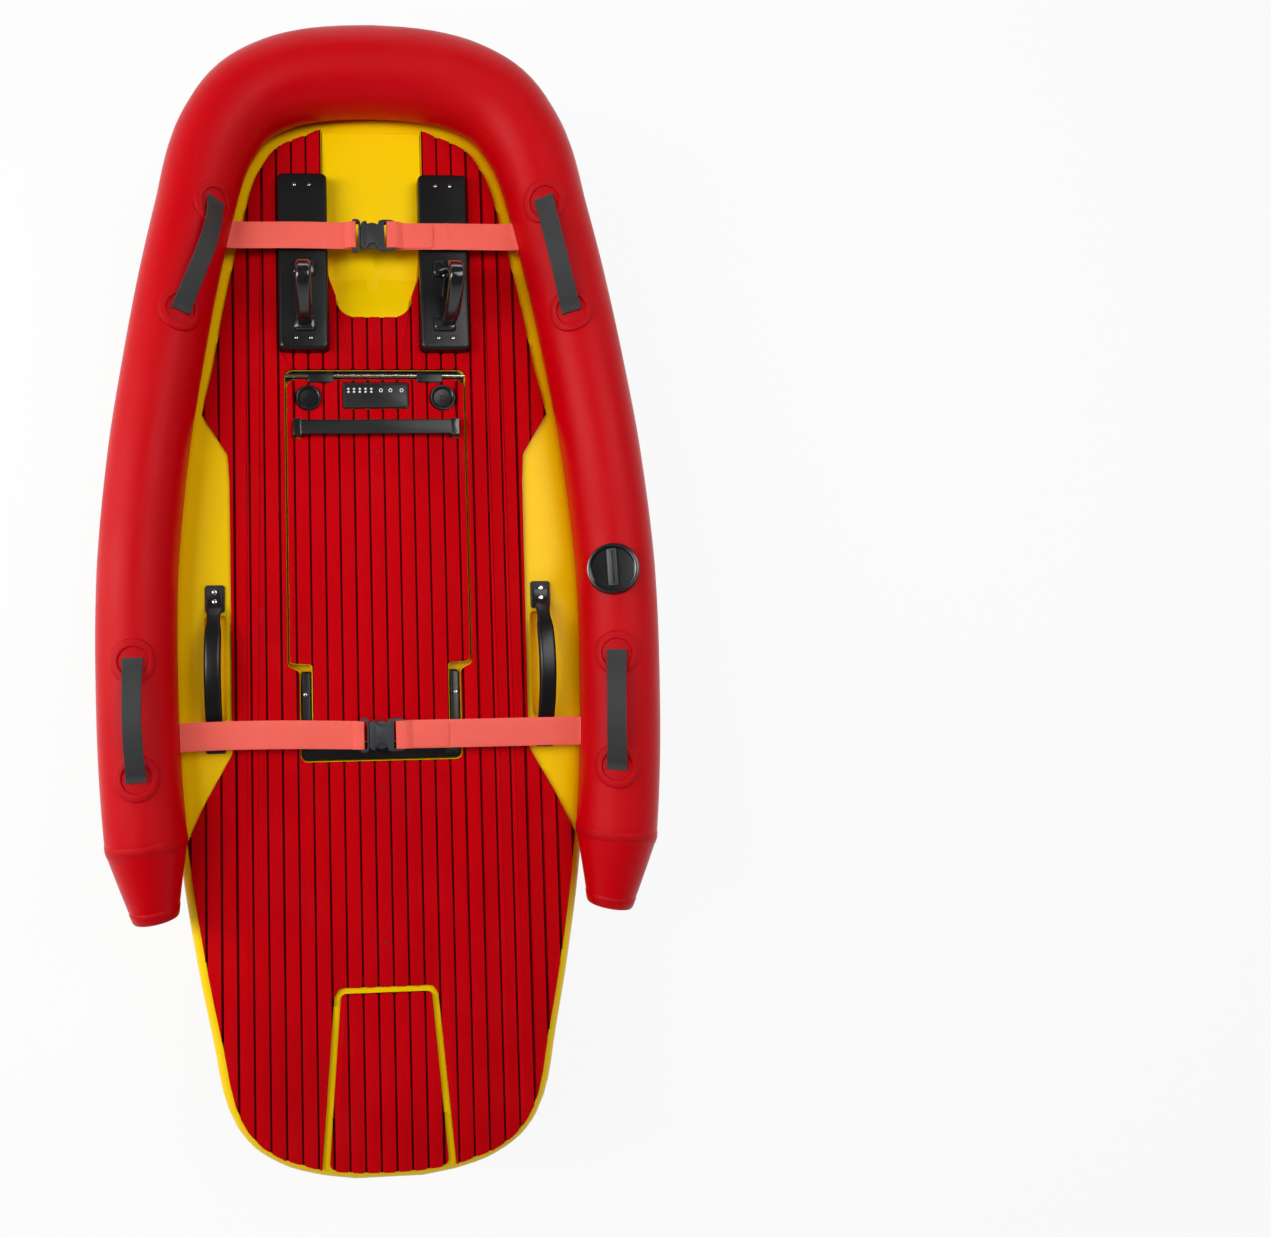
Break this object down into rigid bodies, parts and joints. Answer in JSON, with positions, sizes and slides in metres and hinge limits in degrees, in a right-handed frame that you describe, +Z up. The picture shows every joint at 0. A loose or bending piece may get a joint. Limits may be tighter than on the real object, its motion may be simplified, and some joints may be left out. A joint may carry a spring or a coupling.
{
  "type": "powered rescue board",
  "caption": "Long electric rescue board with an inflatable collar, grab handles, straps, a hinged hatch over its battery bay, and a ducted propeller pod between two fins.",
  "frame": {"origin": "centre of the board's outer box at floor level, under the tips of the fins", "axes": "+Y to the nose along the board's length, +X to starboard, +Z up out of the deck"},
  "size_m": [1, 2.08, 0.4448],
  "materials": {
    "hull_gelcoat": "glossy yellow gelcoat over laminate, with red and yellow stripes below",
    "deck_foam_pad": "soft grooved foam, matte",
    "collar_fabric": "coated fabric, semi-matte",
    "black_plastic": "satin black",
    "gloss_black": "polished black",
    "handle_webbing": "woven dark grey webbing",
    "strap_webbing": "woven coral red webbing",
    "steel": "brushed",
    "aluminium": "machined",
    "fin_plastic": "moulded light grey",
    "foam": "closed-cell foam",
    "rubber": "soft, matte",
    "copper_winding": "varnished winding"
  },
  "bodies": {
    "board": {"hull_shell": "hull_gelcoat", "deck_shell": "hull_gelcoat", "foam_core_front": "foam", "foam_core_rear": "foam", "battery_bay": "black_plastic", "deck_pad": "deck_foam_pad", "kick_pad": "deck_foam_pad", "hinge_rod": "steel", "battery_pack": "black_plastic", "motor_controller": "aluminium", "motor_cable": "rubber", "grip_base_left": "black_plastic", "grip_base_right": "black_plastic", "grip_left": "black_plastic", "grip_right": "black_plastic", "carry_handle_left": "black_plastic", "carry_handle_right": "black_plastic", "carry_plate_left_front": "black_plastic", "carry_plate_left_rear": "black_plastic", "carry_plate_right_front": "black_plastic", "carry_plate_right_rear": "black_plastic", "collar_tube": "collar_fabric", "collar_handle_front_left": "handle_webbing", "collar_handle_front_right": "handle_webbing", "collar_handle_rear_left": "handle_webbing", "collar_handle_rear_right": "handle_webbing", "valve_body": "black_plastic", "front_strap_left": "strap_webbing", "front_strap_right": "strap_webbing", "front_buckle_male": "black_plastic", "front_buckle_female": "black_plastic", "rear_strap_left": "strap_webbing", "rear_strap_right": "strap_webbing", "rear_buckle_male": "black_plastic", "rear_buckle_female": "black_plastic", "access_panel": "hull_gelcoat", "pod_fairing": "hull_gelcoat", "motor_housing": "gloss_black", "motor_stator": "copper_winding", "tail_cone": "black_plastic", "duct_nozzle": "black_plastic", "pod_mount": "black_plastic", "fin_box_left": "black_plastic", "fin_box_right": "black_plastic", "fin_left": "fin_plastic", "fin_right": "fin_plastic"},
    "hatch": {"hatch_lid": "hull_gelcoat", "hatch_pad": "deck_foam_pad", "hatch_seal": "rubber", "hinge_knuckle_left": "black_plastic", "hinge_knuckle_right": "black_plastic", "display_panel": "gloss_black", "key_dock_left": "black_plastic", "key_dock_right": "black_plastic", "lid_handle": "black_plastic"},
    "bail": {"latch_bail": "black_plastic"},
    "trigger": {"throttle_trigger": "black_plastic"},
    "propeller_shaft": {"motor_rotor": "steel", "propeller": "aluminium"},
    "valve": {"valve_cap": "black_plastic"}
  },
  "joints": [
    {"name": "hatch_hinge", "type": "hinge", "parent": "board", "child": "hatch", "pos_m": [0, 0.41, 0.3], "axis": [-1, 0, 0], "range_deg": [0, 95], "deforming": ["rear_strap_left", "rear_strap_right", "rear_buckle_male", "rear_buckle_female"]},
    {"name": "bail_hinge", "type": "hinge", "parent": "hatch", "child": "bail", "pos_m": [0, -0.18, 0.292], "axis": [-1, 0, 0], "range_deg": [0, 40]},
    {"name": "trigger_hinge", "type": "hinge", "parent": "board", "child": "trigger", "pos_m": [0.129, 0.562, 0.388], "axis": [-1, 0, 0], "range_deg": [0, 15], "stiffness_Nm_per_rad": 0.05},
    {"name": "propeller_spin", "type": "hinge", "parent": "board", "child": "propeller_shaft", "pos_m": [0, -0.8, 0.106], "axis": [0, 1, 0], "continuous": true},
    {"name": "valve_turn", "type": "hinge", "parent": "board", "child": "valve", "pos_m": [0.40079, 0.03129, 0.41233], "axis": [-0.3581, -0.0126, 0.9336], "range_deg": [0, 90]}
  ]
}
